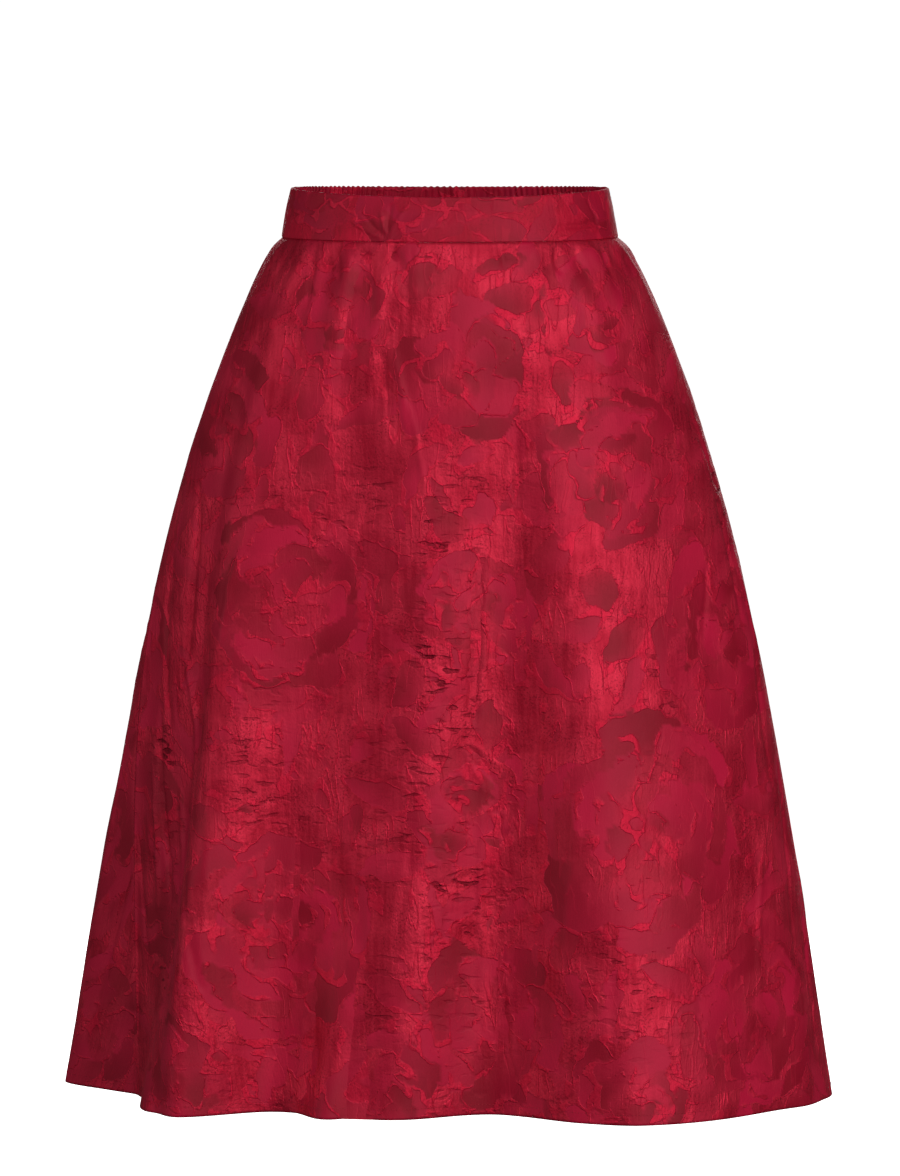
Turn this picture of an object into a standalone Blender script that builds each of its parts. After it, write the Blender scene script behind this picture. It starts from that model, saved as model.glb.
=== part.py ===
# A worn midi skirt in woven jacquard: a flat front waistband, an elasticated back
# waistband, a front and a back panel joined at side seams, and a narrow turned-up hem.
# Metres, +Z up. The front faces -Y, and +X is at the right of someone who looks at it.
# The origin is the centre of the waist, at half the height of the band.

import math
from collections import namedtuple

import bmesh
import bpy
import numpy as np

COLLECTION = "midi_skirt"

BAND_TOP = 0.0205          # top edge of the band at the side seams
SEAM_HEIGHT = -0.0190      # where the band is sewn to the panels
HEM_DROP = 0.7030          # from the waist seam straight down to the hem edge
SEAM_GAP = 0.0003

BAND_WALL = 0.0024         # cloth, fusing and cloth
CLOTH_WALL = 0.0012
HEM_WALL = 0.0024          # cloth turned up once
HEM_TURN = 0.0100          # height of the turned-up edge

FRONT_DIP = 0.0038         # how far the top edge sinks at the centre of the front
BACK_DIP = 0.0025
ELASTIC_WAVES = 80         # ribs of the gathered back band
ELASTIC_DEPTH = 0.0007
ELASTIC_EDGE = 0.0005      # rise and fall of the gathered top edge

BACK_GATHERS = 32          # soft gathers that fall from the elastic
GATHER_DEPTH = 0.0026
GATHER_LENGTH = 0.1100
GATHER_RISE = 0.0200       # length over which a gather swells below the seam
GATHER_ROOT = 0.2000       # share of its depth that a gather has at the seam
GATHER_FADE = 1.2          # 1 fades a gather evenly downwards, more fades it sooner
SIDE_CALM = 8.0            # degrees from a side seam over which back gathers die out

ANGLE_STEP = 0.4           # steps in degrees and metres that find a wall's direction
DROP_STEP = 0.0010

COLUMNS_PER_WAVE = 4
FRONT_COLUMNS = 72
BACK_COLUMNS = 64
BAND_COLUMNS = 60

PANEL_RED = (0.420, 0.016, 0.034)
BAND_RED = (0.390, 0.016, 0.032)
CLOTH_ROUGHNESS = 0.45
CASING_ROUGHNESS = 0.50

Ring = namedtuple("Ring", "drop half_width front back")

# Half-width at the side seams and half-depth before and behind, from the waist seam down
RINGS = (
    Ring(0.000, 0.1361, 0.0976, 0.0982),
    Ring(0.006, 0.1424, 0.0992, 0.1002),
    Ring(0.020, 0.1508, 0.1020, 0.1050),
    Ring(0.045, 0.1635, 0.1070, 0.1130),
    Ring(0.090, 0.1822, 0.1130, 0.1260),
    Ring(0.165, 0.2083, 0.1200, 0.1420),
    Ring(0.240, 0.2297, 0.1260, 0.1540),
    Ring(0.340, 0.2526, 0.1320, 0.1660),
    Ring(0.460, 0.2754, 0.1370, 0.1760),
    Ring(0.580, 0.2957, 0.1420, 0.1850),
    Ring(0.703, 0.3145, 0.1460, 0.1930),
)

BandEdge = namedtuple("BandEdge", "height half_width front back")

BAND_UPPER = BandEdge(BAND_TOP, 0.1290, 0.0940, 0.0945)
BAND_LOWER = BandEdge(SEAM_HEIGHT, 0.1366, 0.0982, 0.0988)

Fold = namedtuple("Fold", "name top hem left right depth start power flat")

# Flutes. Top and hem are the angles in degrees of a fold's middle where it starts and at
# the hem, 0 at the front centre, 90 at the right side and 180 behind. Left and right are
# the angles over which it fades. Depth is how far it stands out at the hem, or sinks in.
# Flat is 1 for a rounded fold and more for one with a broad middle and steep sides.
FOLDS = (
    Fold("left side flute", -100, -113, 26, 10, 0.033, 0.200, 1.6, 1.0),
    Fold("left side valley", -60, -84, 26, 35, -0.060, 0.110, 1.6, 2.0),
    Fold("left flute", -53, -42, 8, 15, 0.024, 0.050, 1.0, 1.0),
    Fold("left valley", -20, -29, 20, 26, -0.040, 0.040, 0.75, 1.0),
    Fold("small pinch", -18, -19.5, 6, 6, 0.022, 0.560, 1.0, 1.0),
    Fold("centre valley", 13, 6, 18, 13, -0.040, 0.080, 0.9, 1.0),
    Fold("right flute", 27, 28, 16, 34, 0.038, 0.080, 1.0, 1.0),
    Fold("right side valley", 76, 80, 16, 18, -0.006, 0.200, 1.3, 1.0),
    Fold("right side flute", 106, 110, 18, 18, 0.006, 0.250, 1.3, 1.0),
    Fold("back right valley", 128, 130, 16, 18, -0.032, 0.130, 1.2, 1.0),
    Fold("back right flute", 149, 151, 16, 18, 0.022, 0.090, 1.1, 1.0),
    Fold("back centre right valley", 166, 167, 11, 12, -0.026, 0.160, 1.2, 1.0),
    Fold("back centre flute", 184, 182, 14, 14, 0.020, 0.080, 1.1, 1.0),
    Fold("back centre left valley", 202, 204, 14, 13, -0.030, 0.140, 1.2, 1.0),
    Fold("back left flute", 221, 222, 16, 14, 0.018, 0.100, 1.1, 1.0),
)

Gather = namedtuple("Gather", "angle lean width depth length")

# Small gathers below the front band: lean is how many degrees one moves over its length
FRONT_GATHERS = (
    Gather(-74, -4, 5.0, 0.0022, 0.070),
    Gather(-63, -3, 4.5, -0.0020, 0.080),
    Gather(-53, -3, 5.0, 0.0024, 0.090),
    Gather(-41, 6, 4.5, -0.0038, 0.170),
    Gather(-33, 5, 5.0, 0.0040, 0.190),
    Gather(-25, 2, 4.5, -0.0018, 0.080),
    Gather(-18, 1, 4.0, -0.0028, 0.075),
    Gather(-11, 0, 4.5, 0.0020, 0.090),
    Gather(18, 0, 4.5, -0.0022, 0.085),
    Gather(27, 2, 4.5, 0.0020, 0.080),
    Gather(43, 3, 5.0, -0.0034, 0.060),
    Gather(52, 4, 5.0, 0.0024, 0.090),
    Gather(64, 4, 5.0, -0.0022, 0.080),
    Gather(75, 5, 5.0, 0.0022, 0.075),
)

FRONT_DROPS = (0.000, 0.006, 0.020, 0.042, 0.075, 0.120, 0.175, 0.235, 0.300, 0.370,
               0.445, 0.520, 0.590, 0.650)
BACK_FINE_DROPS = (0.000, 0.007, 0.024, 0.055)
BACK_DROPS = (0.105, 0.165, 0.235, 0.300, 0.370, 0.445, 0.520, 0.590, 0.650)
TURN_STEP = 0.0020         # height over which the turned-up cloth ends inside


def clear_scene():
    for old in list(bpy.data.objects):
        bpy.data.objects.remove(old, do_unlink=True)


def make_collection(name):
    collection = bpy.data.collections.new(name)
    bpy.context.scene.collection.children.link(collection)
    return collection


def make_cloth(name, colour, roughness):
    material = bpy.data.materials.new(name)
    material.use_nodes = True
    shader = material.node_tree.nodes["Principled BSDF"]
    shader.inputs["Base Color"].default_value = (*colour, 1.0)
    shader.inputs["Roughness"].default_value = roughness
    shader.inputs["Metallic"].default_value = 0.0
    return material


def smooth_value(rings, field, place):
    # One size at a height between the rows, on a smooth curve through them
    places = np.array([ring.drop for ring in rings])
    sizes = np.array([getattr(ring, field) for ring in rings])
    slopes = np.gradient(sizes, places)
    index = int(np.clip(np.searchsorted(places, place) - 1, 0, len(places) - 2))
    span = places[index + 1] - places[index]
    share = (place - places[index]) / span
    hold = 2 * share ** 3 - 3 * share ** 2 + 1
    leave = share ** 3 - 2 * share ** 2 + share
    arrive = share ** 3 - share ** 2
    return (hold * sizes[index] + (1 - hold) * sizes[index + 1]
            + span * (leave * slopes[index] + arrive * slopes[index + 1]))


def turn_between(angle, centre):
    return (angle - centre + 180.0) % 360.0 - 180.0


def bump(offset, left, right, flat=1.0):
    # A rounded wave: 1 at its middle, 0 at its left and right ends
    share = abs(offset / (right if offset > 0 else left))
    return 0.5 + 0.5 * math.cos(math.pi * share ** flat) if share < 1 else 0.0


def fold_depth(angle, drop):
    depth = 0.0
    for fold in FOLDS:
        if drop <= fold.start:
            continue
        share = (drop - fold.start) / (HEM_DROP - fold.start)
        middle = fold.top + share * (fold.hem - fold.top)
        wave = bump(turn_between(angle, middle), fold.left, fold.right, fold.flat)
        depth += fold.depth * share ** fold.power * wave
    return depth


def gather_swell(drop, length):
    rise = min(1.0, GATHER_ROOT + (1.0 - GATHER_ROOT) * drop / GATHER_RISE)
    fade = max(0.0, 1.0 - drop / length)
    return rise * fade ** GATHER_FADE


def front_gather_depth(angle, drop):
    depth = 0.0
    for gather in FRONT_GATHERS:
        if drop < gather.length:
            middle = gather.angle + gather.lean * drop / gather.length
            wave = bump(turn_between(angle, middle), gather.width, gather.width)
            depth += gather.depth * gather_swell(drop, gather.length) * wave
    return depth


def back_gather_depth(angle, drop):
    # An even run of gathers whose depth and length wander a little on slow waves
    turn = math.radians(angle - 90.0)
    wander = 1.0 + 0.30 * math.sin(5.0 * turn + 0.8) + 0.20 * math.sin(11.0 * turn)
    length = GATHER_LENGTH * (1.0 + 0.25 * math.sin(7.0 * turn + 1.9))
    wave = math.cos(2.0 * BACK_GATHERS * turn)
    calm = min(1.0, abs(abs(turn_between(angle, 180.0)) - 90.0) / SIDE_CALM)
    return GATHER_DEPTH * wander * wave * calm * gather_swell(drop, length)


def ring_point(half_width, half_depth, angle, outward, height):
    # A point on an oval ring, moved out along the ring's own normal
    turn = math.radians(angle)
    normal = np.array([math.sin(turn) / half_width, -math.cos(turn) / half_depth])
    normal /= np.linalg.norm(normal)
    x = half_width * math.sin(turn) + outward * normal[0]
    y = -half_depth * math.cos(turn) + outward * normal[1]
    return (x, y, height)


def is_front(angle):
    return abs(turn_between(angle, 0.0)) <= 90.0


def panel_point(angle, drop):
    front = is_front(angle)
    half_width = smooth_value(RINGS, "half_width", drop)
    half_depth = smooth_value(RINGS, "front" if front else "back", drop)
    gathers = front_gather_depth if front else back_gather_depth
    outward = fold_depth(angle, drop) + gathers(angle, drop)
    height = SEAM_HEIGHT - SEAM_GAP - drop
    return np.array(ring_point(half_width, half_depth, angle, outward, height))


def panel_normal(angle, drop):
    across = panel_point(angle + ANGLE_STEP, drop) - panel_point(angle - ANGLE_STEP, drop)
    upward = panel_point(angle, drop - DROP_STEP) - panel_point(angle, drop + DROP_STEP)
    normal = np.cross(across, upward)
    return normal / np.linalg.norm(normal)


def wall_at(drop):
    return HEM_WALL if drop >= HEM_DROP - HEM_TURN else CLOTH_WALL


def row_angles(centre, columns, drop):
    half_depth = smooth_value(RINGS, "front" if is_front(centre) else "back", drop)
    reach = 90.0 - math.degrees(0.5 * SEAM_GAP / half_depth)
    return np.linspace(centre - reach, centre + reach, columns + 1)


def row_triangles(upper, lower):
    # Corners as (row, index), row 0 above. A square is cut across its shorter diagonal.
    # Where the lower row has half the columns, three triangles fill each of its squares.
    step = (len(upper) - 1) // (len(lower) - 1)
    triangles = []
    for index in range(len(lower) - 1):
        left = (0, index * step)
        right = (0, index * step + step)
        below_left = (1, index)
        below_right = (1, index + 1)
        if step == 2:
            middle = (0, index * step + 1)
            triangles += [(left, below_left, middle), (middle, below_left, below_right),
                          (middle, below_right, right)]
            continue
        falling = np.linalg.norm(upper[index] - lower[index + 1])
        rising = np.linalg.norm(upper[index + 1] - lower[index])
        if falling < rising:
            triangles += [(left, below_left, below_right), (left, below_right, right)]
        else:
            triangles += [(left, below_left, right), (right, below_left, below_right)]
    return triangles


def close_edge(mesh, outer, inner):
    # The narrow face that joins the two sides of the wall along an edge
    for index in range(len(outer) - 1):
        mesh.faces.new([outer[index], outer[index + 1], inner[index + 1], inner[index]])


def add_object(name, mesh, material, collection):
    data = bpy.data.meshes.new(name)
    mesh.to_mesh(data)
    mesh.free()
    data.shade_smooth()
    data.materials.append(material)
    piece = bpy.data.objects.new(name, data)
    collection.objects.link(piece)
    return piece


def make_panel(name, centre, rows, material, collection):
    mesh = bmesh.new()
    points = []
    outer = []
    inner = []
    for drop, columns in rows:
        angles = row_angles(centre, columns, drop)
        line = [panel_point(angle, drop) for angle in angles]
        inside = [point - wall_at(drop) * panel_normal(angle, drop)
                  for point, angle in zip(line, angles)]
        points.append(line)
        outer.append([mesh.verts.new(point) for point in line])
        inner.append([mesh.verts.new(point) for point in inside])
    for row in range(len(rows) - 1):
        for corners in row_triangles(points[row], points[row + 1]):
            mesh.faces.new([outer[row + below][index] for below, index in corners])
            mesh.faces.new([inner[row + below][index] for below, index in corners[::-1]])
    for row in (0, -1):
        close_edge(mesh, outer[row], inner[row])
    for side in (0, -1):
        close_edge(mesh, [line[side] for line in outer], [line[side] for line in inner])
    bmesh.ops.recalc_face_normals(mesh, faces=mesh.faces)
    return add_object(name, mesh, material, collection)


def between(upper, lower, share):
    return upper + share * (lower - upper)


def band_section(angle, ribs):
    # One upright cut through the band's wall, down its outer face and up its inner one
    front = is_front(angle)
    side = "front" if front else "back"
    dip = (FRONT_DIP if front else BACK_DIP) * math.cos(math.radians(angle)) ** 2
    wave = math.cos(math.radians(angle - 90.0) * 2.0 * ELASTIC_WAVES) if ribs else 0.0
    top_height = BAND_UPPER.height - dip + ELASTIC_EDGE * wave
    section = []
    for inset, shares in ((0.0, (0.0, 0.5, 1.0)), (BAND_WALL, (1.0, 0.5, 0.0))):
        for share in shares:
            half_width = between(BAND_UPPER.half_width, BAND_LOWER.half_width, share)
            half_depth = between(getattr(BAND_UPPER, side), getattr(BAND_LOWER, side), share)
            height = between(top_height, BAND_LOWER.height, share)
            swell = 0.5 + 0.5 * math.sin(math.pi * share)
            outward = ELASTIC_DEPTH * wave * swell - inset
            section.append(ring_point(half_width, half_depth, angle, outward, height))
    return section


def make_band(name, centre, columns, ribs, material, collection):
    mesh = bmesh.new()
    reach = 90.0 - math.degrees(0.5 * SEAM_GAP / BAND_UPPER.front)
    loops = []
    for angle in np.linspace(centre - reach, centre + reach, columns + 1):
        loops.append([mesh.verts.new(point) for point in band_section(angle, ribs)])
    for left, right in zip(loops, loops[1:]):
        for index in range(len(left)):
            after = (index + 1) % len(left)
            mesh.faces.new([left[index], left[after], right[after], right[index]])
    mesh.faces.new(list(reversed(loops[0])))
    mesh.faces.new(loops[-1])
    bmesh.ops.recalc_face_normals(mesh, faces=mesh.faces)
    return add_object(name, mesh, material, collection)


def hem_drops():
    return (HEM_DROP - HEM_TURN - TURN_STEP, HEM_DROP - HEM_TURN, HEM_DROP)


def main():
    clear_scene()
    collection = make_collection(COLLECTION)
    front_rows = [(drop, FRONT_COLUMNS) for drop in FRONT_DROPS + hem_drops()]
    back_rows = [(drop, BACK_GATHERS * COLUMNS_PER_WAVE) for drop in BACK_FINE_DROPS]
    back_rows += [(drop, BACK_COLUMNS) for drop in BACK_DROPS + hem_drops()]

    make_panel("skirt_front", 0.0, front_rows,
               make_cloth("front_jacquard", PANEL_RED, CLOTH_ROUGHNESS), collection)
    make_panel("skirt_back", 180.0, back_rows,
               make_cloth("back_jacquard", PANEL_RED, CLOTH_ROUGHNESS), collection)
    make_band("waistband_front", 0.0, BAND_COLUMNS, False,
              make_cloth("front_band_jacquard", BAND_RED, CLOTH_ROUGHNESS), collection)
    make_band("waistband_back", 180.0, ELASTIC_WAVES * COLUMNS_PER_WAVE, True,
              make_cloth("back_band_jacquard", BAND_RED, CASING_ROUGHNESS), collection)


main()
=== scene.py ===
import math
from functools import partial
import bpy
import numpy as np
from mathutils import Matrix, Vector


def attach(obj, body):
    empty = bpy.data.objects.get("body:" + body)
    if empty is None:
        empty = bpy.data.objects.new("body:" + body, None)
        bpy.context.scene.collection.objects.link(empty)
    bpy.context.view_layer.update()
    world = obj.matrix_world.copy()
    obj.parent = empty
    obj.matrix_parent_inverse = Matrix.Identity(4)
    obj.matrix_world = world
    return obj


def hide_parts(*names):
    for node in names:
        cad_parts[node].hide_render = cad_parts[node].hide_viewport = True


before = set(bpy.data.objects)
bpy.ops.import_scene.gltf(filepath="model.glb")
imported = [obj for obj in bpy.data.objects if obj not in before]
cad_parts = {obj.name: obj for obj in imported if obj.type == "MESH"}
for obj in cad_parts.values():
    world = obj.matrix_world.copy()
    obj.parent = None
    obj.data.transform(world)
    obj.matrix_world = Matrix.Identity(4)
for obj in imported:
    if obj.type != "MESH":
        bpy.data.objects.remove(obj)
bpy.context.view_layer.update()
millimetre = 0.001

# Sizes of the worn skirt that the panels and bands share, in metres and degrees.
# Angle 0 is the front centre, 90 the right side seam, 180 the back centre.
skirtForm = {
    "seamHeight": -0.0190,
    "seamGap": 0.00018,      # leaves 0.02 mm under the band's rounded lower edge
    "sideGap": 0.00001,      # from the plane of the side seams to each piece
    "hemDrop": 0.7030,
    "hemTurn": 0.0100,
    "clothWall": 0.0012,
    "bandWall": 0.0024,
    "frontDip": 0.0038,
    "backDip": 0.0025,
    "panelDepth": 0.15,      # from the plane of the side seams to the cloth, about
    "bandDepth": 0.094,
}

ringColumns = ("drop", "halfWidth", "front", "back")
ringRows = (
    (0.000, 0.1361, 0.0976, 0.0982),
    (0.006, 0.1424, 0.0992, 0.1002),
    (0.020, 0.1508, 0.1020, 0.1050),
    (0.045, 0.1635, 0.1070, 0.1130),
    (0.090, 0.1822, 0.1130, 0.1260),
    (0.165, 0.2083, 0.1200, 0.1420),
    (0.240, 0.2297, 0.1260, 0.1540),
    (0.340, 0.2526, 0.1320, 0.1660),
    (0.460, 0.2754, 0.1370, 0.1760),
    (0.580, 0.2957, 0.1420, 0.1850),
    (0.703, 0.3145, 0.1460, 0.1930),
)

bandColumns = ("height", "halfWidth", "front", "back")
bandRows = (
    (0.0205, 0.1290, 0.0940, 0.0945),
    (-0.0190, 0.1366, 0.0982, 0.0988),
)

# Flutes: the angle of each middle at its start and at the hem, the angles over which it
# fades to its left and right, how far it stands out at the hem, and the drop it starts at.
foldColumns = ("top", "hem", "left", "right", "depth", "start", "power", "flat")
foldRows = {
    "leftSideFlute": (-100, -113, 26, 10, 0.033, 0.200, 1.6, 1.0),
    "leftSideValley": (-60, -84, 26, 35, -0.060, 0.110, 1.6, 2.0),
    "leftFlute": (-53, -42, 8, 15, 0.024, 0.050, 1.0, 1.0),
    "leftValley": (-20, -29, 20, 26, -0.040, 0.040, 0.75, 1.0),
    "smallPinch": (-18, -19.5, 6, 6, 0.022, 0.560, 1.0, 1.0),
    "centreValley": (13, 6, 18, 13, -0.040, 0.080, 0.9, 1.0),
    "rightFlute": (27, 28, 16, 34, 0.038, 0.080, 1.0, 1.0),
    "rightSideValley": (76, 80, 16, 18, -0.006, 0.200, 1.3, 1.0),
    "rightSideFlute": (106, 110, 18, 18, 0.006, 0.250, 1.3, 1.0),
    "backRightValley": (128, 130, 16, 18, -0.032, 0.130, 1.2, 1.0),
    "backRightFlute": (149, 151, 16, 18, 0.022, 0.090, 1.1, 1.0),
    "backCentreRightValley": (166, 167, 11, 12, -0.026, 0.160, 1.2, 1.0),
    "backCentreFlute": (184, 182, 14, 14, 0.020, 0.080, 1.1, 1.0),
    "backCentreLeftValley": (202, 204, 14, 13, -0.030, 0.140, 1.2, 1.0),
    "backLeftFlute": (221, 222, 16, 14, 0.018, 0.100, 1.1, 1.0),
}

gatherColumns = ("angle", "lean", "width", "depth", "length")
frontGatherRows = (
    (-74, -4, 5.0, 0.0022, 0.070),
    (-63, -3, 4.5, -0.0020, 0.080),
    (-53, -3, 5.0, 0.0024, 0.090),
    (-41, 6, 4.5, -0.0038, 0.170),
    (-33, 5, 5.0, 0.0040, 0.190),
    (-25, 2, 4.5, -0.0018, 0.080),
    (-18, 1, 4.0, -0.0028, 0.075),
    (-11, 0, 4.5, 0.0020, 0.090),
    (18, 0, 4.5, -0.0022, 0.085),
    (27, 2, 4.5, 0.0020, 0.080),
    (43, 3, 5.0, -0.0034, 0.060),
    (52, 4, 5.0, 0.0024, 0.090),
    (64, 4, 5.0, -0.0022, 0.080),
    (75, 5, 5.0, 0.0022, 0.075),
)
gatherShape = {"rise": 0.020, "root": 0.10, "fade": 1.2}   # from the seam down
backGathers = {"count": 32, "depth": 0.0026, "length": 0.110, "sideCalm": 8.0}


def column(rows, columns, name):
    return np.array([row[columns.index(name)] for row in rows], float)


def smoothSizes(rows, columns, name, places):
    # sizes between the rows, on a smooth curve through them
    at = column(rows, columns, columns[0])
    sizes = column(rows, columns, name)
    slopes = np.gradient(sizes, at)
    index = np.clip(np.searchsorted(at, places) - 1, 0, len(at) - 2)
    span = at[index + 1] - at[index]
    share = (places - at[index]) / span
    hold = 2 * share ** 3 - 3 * share ** 2 + 1
    leave = share ** 3 - 2 * share ** 2 + share
    arrive = share ** 3 - share ** 2
    curve = hold * sizes[index] + (1 - hold) * sizes[index + 1]
    return curve + span * (leave * slopes[index] + arrive * slopes[index + 1])


def turnBetween(angle, centre):
    return (angle - centre + 180.0) % 360.0 - 180.0


def wave(offset, left, right, flat=1.0):
    share = np.abs(offset / np.where(offset > 0, right, left))
    return np.where(share < 1, 0.5 + 0.5 * np.cos(np.pi * np.minimum(share, 1) ** flat), 0.0)


def foldDepth(angles, drops):
    depth = np.zeros_like(angles)
    for row in foldRows.values():
        fold = dict(zip(foldColumns, row))
        share = np.clip((drops - fold["start"]) / (skirtForm["hemDrop"] - fold["start"]), 0, 1)
        middle = fold["top"] + share * (fold["hem"] - fold["top"])
        shape = wave(turnBetween(angles, middle), fold["left"], fold["right"], fold["flat"])
        depth += fold["depth"] * share ** fold["power"] * shape
    return depth


def gatherSwell(drops, length):
    root = gatherShape["root"]
    rise = np.minimum(1.0, root + (1.0 - root) * drops / gatherShape["rise"])
    return rise * np.maximum(0.0, 1.0 - drops / length) ** gatherShape["fade"]


def frontGatherDepth(angles, drops):
    depth = np.zeros_like(angles)
    for row in frontGatherRows:
        gather = dict(zip(gatherColumns, row))
        middle = gather["angle"] + gather["lean"] * drops / gather["length"]
        shape = wave(turnBetween(angles, middle), gather["width"], gather["width"])
        depth += gather["depth"] * gatherSwell(drops, gather["length"]) * shape
    return depth


def backGatherDepth(angles, drops):
    turn = np.radians(angles - 90.0)
    wander = 1.0 + 0.30 * np.sin(5.0 * turn + 0.8) + 0.20 * np.sin(11.0 * turn)
    length = backGathers["length"] * (1.0 + 0.25 * np.sin(7.0 * turn + 1.9))
    ripple = np.cos(2.0 * backGathers["count"] * turn)
    fromSeam = np.abs(np.abs(turnBetween(angles, 180.0)) - 90.0)
    calm = np.minimum(1.0, fromSeam / backGathers["sideCalm"])
    return backGathers["depth"] * wander * ripple * calm * gatherSwell(drops, length)


def ovalPoints(halfWidth, halfDepth, angles, outward, heights):
    turn = np.radians(angles)
    normal = np.stack([np.sin(turn) / halfWidth, -np.cos(turn) / halfDepth], -1)
    normal /= np.linalg.norm(normal, axis=-1, keepdims=True)
    x = halfWidth * np.sin(turn) + outward * normal[..., 0]
    y = -halfDepth * np.cos(turn) + outward * normal[..., 1]
    return np.stack([x, y, heights + 0.0 * x], -1)


def panelSurface(angles, drops, front):
    halfWidth = smoothSizes(ringRows, ringColumns, "halfWidth", drops)
    halfDepth = smoothSizes(ringRows, ringColumns, "front" if front else "back", drops)
    gathers = frontGatherDepth if front else backGatherDepth
    outward = foldDepth(angles, drops) + gathers(angles, drops)
    heights = skirtForm["seamHeight"] - skirtForm["seamGap"] - drops
    return ovalPoints(halfWidth, halfDepth, angles, outward, heights)


def gridNormals(points):
    across = np.gradient(points, axis=1)
    downward = np.gradient(points, axis=0)
    normals = np.cross(across, -downward)
    return normals / np.linalg.norm(normals, axis=-1, keepdims=True)


# Soft noise in the plane of the cloth, the same in every run
def latticeNoise(x, y, seed):
    column0 = np.floor(x).astype(np.int64)
    row0 = np.floor(y).astype(np.int64)
    fadeX = x - column0
    fadeY = y - row0
    fadeX = fadeX ** 3 * (fadeX * (fadeX * 6 - 15) + 10)
    fadeY = fadeY ** 3 * (fadeY * (fadeY * 6 - 15) + 10)

    def corner(i, j):
        mixed = (i * 374761393 + j * 668265263 + seed * 974634777) & 0xFFFFFFFF
        mixed = ((mixed ^ (mixed >> 13)) * 1274126177) & 0xFFFFFFFF
        return ((mixed ^ (mixed >> 16)) & 0xFFFF) / 32767.5 - 1.0

    upper = corner(column0, row0) * (1 - fadeX) + corner(column0 + 1, row0) * fadeX
    lower = corner(column0, row0 + 1) * (1 - fadeX) + corner(column0 + 1, row0 + 1) * fadeX
    return upper * (1 - fadeY) + lower * fadeY


def softNoise(x, y, seed, layers=2):
    total = np.zeros_like(x)
    for layer in range(layers):
        total += latticeNoise(x * 2 ** layer, y * 2 ** layer, seed + layer) / 2 ** layer
    return total


def smoothStep(value, low, high):
    share = np.clip((value - low) / (high - low), 0.0, 1.0)
    return share * share * (3 - 2 * share)


# The jacquard: blooms with rings of petals, loose leaves and crescents, in millimetres on
# the cloth. Across runs from a panel's centre line, down from the waist seam.
bloomColumns = ("across", "down", "radius", "turn", "kind")
frontBlooms = (
    (172, 478, 90, 20, "peony"),
    (-318, 505, 84, 75, "peony"),
    (-135, 292, 78, -35, "peony"),
    (135, 185, 70, 140, "peony"),
    (262, 318, 82, -80, "peony"),
    (-205, 150, 62, 10, "rose"),
    (8, 108, 56, 60, "rose"),
    (-92, 56, 44, 200, "rose"),
    (125, 52, 46, -20, "rose"),
    (22, 300, 52, 110, "rose"),
    (-152, 570, 80, 160, "peony"),
    (36, 640, 66, -60, "rose"),
    (290, 640, 72, 35, "peony"),
    (-262, 690, 58, 100, "rose"),
    (385, 480, 66, 210, "rose"),
    (-60, 715, 56, 15, "rose"),
    (160, 700, 50, 80, "rose"),
    (-325, 345, 60, -20, "rose"),
    (12, 470, 48, 30, "rose"),
)
backBlooms = (
    (10, 470, 90, 50, "peony"),
    (-210, 330, 84, -30, "peony"),
    (225, 300, 82, 120, "peony"),
    (-60, 190, 72, 200, "peony"),
    (125, 130, 58, 15, "rose"),
    (-185, 95, 58, 75, "rose"),
    (20, 30, 46, -60, "rose"),
    (330, 500, 84, -10, "peony"),
    (-330, 540, 86, 160, "peony"),
    (-150, 600, 68, 30, "rose"),
    (170, 610, 78, 95, "peony"),
    (400, 660, 62, 40, "rose"),
    (-20, 690, 58, -45, "rose"),
    (-430, 660, 62, 10, "rose"),
    (110, 360, 50, 170, "rose"),
    (-330, 330, 54, 100, "rose"),
    (-280, 160, 52, -15, "rose"),
    (290, 150, 52, 60, "rose"),
)
bandBlooms = (
    (-125, -26, 44, 30, "rose"),
    (-30, -8, 48, 110, "rose"),
    (55, -34, 46, -40, "rose"),
    (140, -12, 44, 70, "rose"),
)
petalColumns = ("count", "root", "tip", "width", "tone", "bend")
bloomRings = {
    # rings of petals, roots, tips and widths as shares of the radius, from outside inward
    "peony": ((6, 0.34, 1.08, 0.78, 1.00, 6.0), (6, 0.34, 0.92, 0.66, 0.80, 9.0),
              (5, 0.22, 0.76, 0.68, 1.00, 12.0), (5, 0.14, 0.58, 0.48, 0.85, 14.0),
              (4, 0.04, 0.42, 0.36, 1.00, 18.0), (3, -0.04, 0.24, 0.18, 0.70, 24.0)),
    "rose": ((5, 0.26, 1.06, 0.86, 1.00, 8.0), (5, 0.24, 0.84, 0.62, 0.80, 12.0),
             (4, 0.12, 0.60, 0.56, 1.00, 16.0), (3, 0.00, 0.32, 0.26, 0.80, 24.0)),
}
leafShape = {"count": 6, "length": 0.058, "width": 0.021, "tone": 0.85}
looseShape = {"spacing": 0.050, "columns": 20, "rows": 16, "each": 2, "shortest": 0.014,
              "longest": 0.048}
wobble = {"broad": 0.0050, "broadSpan": 0.026, "fine": 0.0011, "fineSpan": 0.0055}


def inMetres(columns, row):
    # a row's values by name, its millimetres turned to metres
    kept = ("turn", "kind", "lean", "bend", "strength")
    return {name: value if name in kept else value * millimetre for name, value in zip(columns, row)}


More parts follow.
